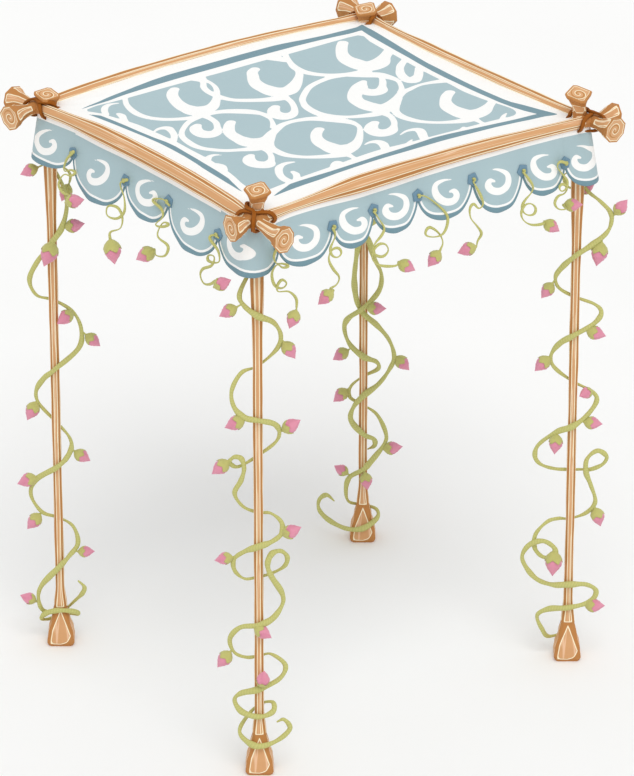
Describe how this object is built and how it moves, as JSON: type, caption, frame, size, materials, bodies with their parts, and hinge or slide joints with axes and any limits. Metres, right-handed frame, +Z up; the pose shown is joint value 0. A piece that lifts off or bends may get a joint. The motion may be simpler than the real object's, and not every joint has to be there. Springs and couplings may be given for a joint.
{
  "type": "chuppah canopy",
  "caption": "Free-standing wedding canopy: flared pole posts and rails lashed at the corners, scrolled cloth top, scalloped valance and rosebud garlands.",
  "frame": {"origin": "centre of the footprint, on the plane of the post feet", "axes": "+Z up the posts; X along the front and back rails, +X to the right of someone facing the front; +Y from the front to the back"},
  "size_m": [1.8593, 1.7611, 2.425],
  "materials": {
    "wood": "bare hewn pole wood, tan with darker streaks",
    "thong": "dark brown rawhide thong, dull",
    "top_cloth": "matt light blue cloth with white scrolls",
    "valance_cloth": "matt light blue cloth with white scrolls and darker blue edging",
    "garland": "wire wrapped in green cloth tape, with pink fabric rosebuds"
  },
  "bodies": {
    "root": {"front_left_post": "wood", "front_right_post": "wood", "back_left_post": "wood", "back_right_post": "wood", "front_rail": "wood", "back_rail": "wood", "left_rail": "wood", "right_rail": "wood", "front_left_lashing": "thong", "front_right_lashing": "thong", "back_left_lashing": "thong", "back_right_lashing": "thong", "canopy_top": "top_cloth", "front_valance": "valance_cloth", "back_valance": "valance_cloth", "left_valance": "valance_cloth", "right_valance": "valance_cloth", "front_left_valance_corner": "valance_cloth", "front_right_valance_corner": "valance_cloth", "back_left_valance_corner": "valance_cloth", "back_right_valance_corner": "valance_cloth", "front_left_garland": "garland", "front_right_garland": "garland", "back_left_garland": "garland", "back_right_garland": "garland", "front_tendril_1": "garland", "front_tendril_2": "garland", "front_tendril_3": "garland", "front_tendril_4": "garland", "front_tendril_5": "garland", "front_tendril_6": "garland", "front_tendril_7": "garland", "back_tendril_1": "garland", "back_tendril_2": "garland", "back_tendril_3": "garland", "back_tendril_4": "garland", "back_tendril_5": "garland", "back_tendril_6": "garland", "back_tendril_7": "garland", "left_tendril_1": "garland", "left_tendril_2": "garland", "left_tendril_3": "garland", "left_tendril_4": "garland", "right_tendril_1": "garland", "right_tendril_2": "garland", "right_tendril_3": "garland", "right_tendril_4": "garland"}
  },
  "joints": []
}
